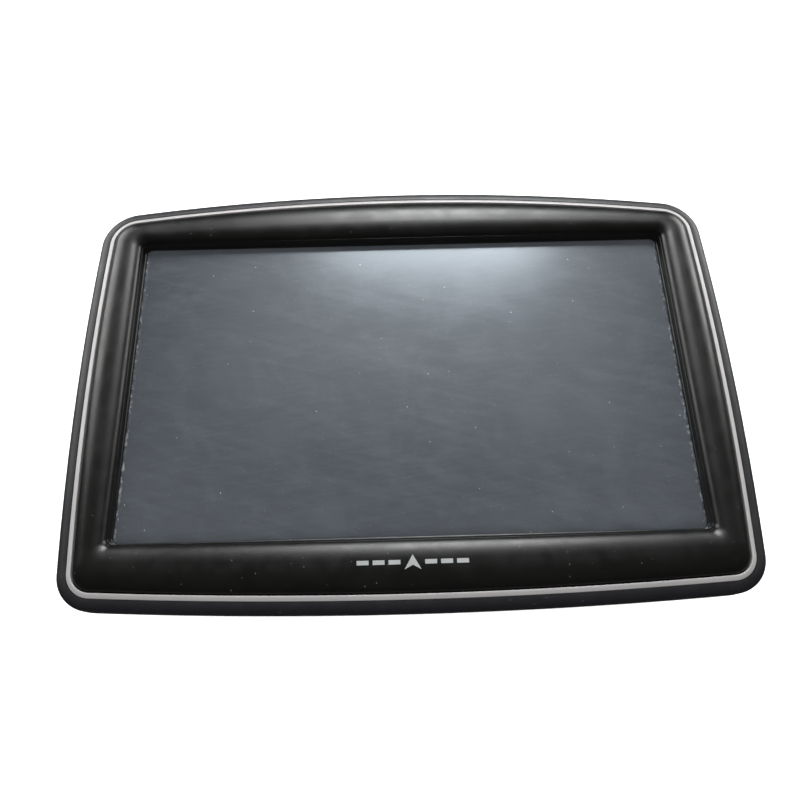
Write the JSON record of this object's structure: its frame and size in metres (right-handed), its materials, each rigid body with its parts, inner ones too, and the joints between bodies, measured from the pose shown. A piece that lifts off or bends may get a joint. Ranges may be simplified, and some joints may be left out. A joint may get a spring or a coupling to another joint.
{
  "type": "portable gps navigator",
  "caption": "Portable car navigator: touch screen in a flat curved case with a pillow-shaped black bezel, silver trim line, power button, round rear boss with speaker grille, and cable socket.",
  "frame": {"origin": "under the middle of the case, on the flat face of the round rear boss on which the navigator lies", "axes": "+X along the width to the right as seen on the screen, +Y to the top edge of the screen, +Z out of the screen"},
  "size_m": [0.1348, 0.0922, 0.0229],
  "materials": {
    "bezel_plastic": "satin black moulded plastic",
    "trim_silver": "silver painted ring",
    "housing_plastic": "fine spark-eroded dark grey plastic",
    "mark_silver": "printed silver-grey",
    "foam_black": "black foam",
    "touch_film": "matte touch film, smudged",
    "touch_glass": "clear glass",
    "tape_black": "double-sided tape",
    "flex_amber": "amber flexible circuit",
    "stamped_steel": "stamped steel",
    "display_glass": "dark display cell",
    "diffuser_white": "white diffuser",
    "frame_alloy": "cast alloy",
    "board_green": "green solder mask",
    "chip_black": "moulded chip package",
    "part_brown": "ceramic and ferrite parts",
    "nylon_cream": "cream nylon",
    "antenna_ceramic": "ceramic block",
    "electrode_silver": "fired silver",
    "cell_foil": "pouch foil",
    "tape_cream": "paper-backed tape",
    "lead_wire": "insulated wire",
    "basket_black": "black pressed steel",
    "magnet_steel": "plated magnet cup",
    "surround_rubber": "rubber roll",
    "cone_paper": "pressed paper",
    "coil_copper": "enamelled copper wire",
    "cloth_black": "acoustic mesh",
    "contact_gold": "gilt spring",
    "socket_steel": "tinned socket shell",
    "socket_black": "black insulator",
    "button_plastic": "satin dark grey button",
    "switch_body": "switch housing",
    "screw_black": "blackened screw",
    "screw_steel": "plated screw",
    "label_grey": "blank label"
  },
  "bodies": {
    "case": {"front_bezel": "bezel_plastic", "trim_ring": "trim_silver", "rear_housing": "housing_plastic", "bezel_mark": "mark_silver", "screen_gasket": "foam_black", "touch_film": "touch_film", "touch_glass": "touch_glass", "touch_tape": "tape_black", "touch_tail": "flex_amber", "lcd_frame": "stamped_steel", "lcd_glass": "display_glass", "backlight": "diffuser_white", "lcd_tail": "flex_amber", "mid_frame": "frame_alloy", "frame_screws": "screw_steel", "main_board": "board_green", "board_screws": "screw_steel", "processor": "chip_black", "memory_chips": "chip_black", "receiver_shield": "stamped_steel", "power_chip": "chip_black", "board_parts": "part_brown", "tail_connectors": "nylon_cream", "gps_antenna": "antenna_ceramic", "antenna_electrode": "electrode_silver", "battery_cell": "cell_foil", "battery_tape": "tape_cream", "battery_leads": "lead_wire", "battery_plug": "nylon_cream", "speaker_basket": "basket_black", "speaker_magnet": "magnet_steel", "speaker_surround": "surround_rubber", "speaker_gasket": "foam_black", "speaker_cloth": "cloth_black", "speaker_contacts": "contact_gold", "usb_shell": "socket_steel", "usb_tongue": "socket_black", "power_switch": "switch_body", "case_screws": "screw_black", "rear_label": "label_grey"},
    "power_key": {"power_button": "button_plastic", "power_plunger": "nylon_cream"},
    "speaker_diaphragm": {"speaker_cone": "cone_paper", "voice_coil": "coil_copper"}
  },
  "joints": [
    {"name": "power_press", "type": "slide", "parent": "case", "child": "power_key", "axis": [0, -1, 0], "range_m": [0, 0.0004], "stiffness_N_per_m": 600},
    {"name": "cone_stroke", "type": "slide", "parent": "case", "child": "speaker_diaphragm", "axis": [0, 0, -1], "range_m": [-0.0004, 0.0004], "stiffness_N_per_m": 1500, "deforming": ["speaker_surround"]}
  ]
}
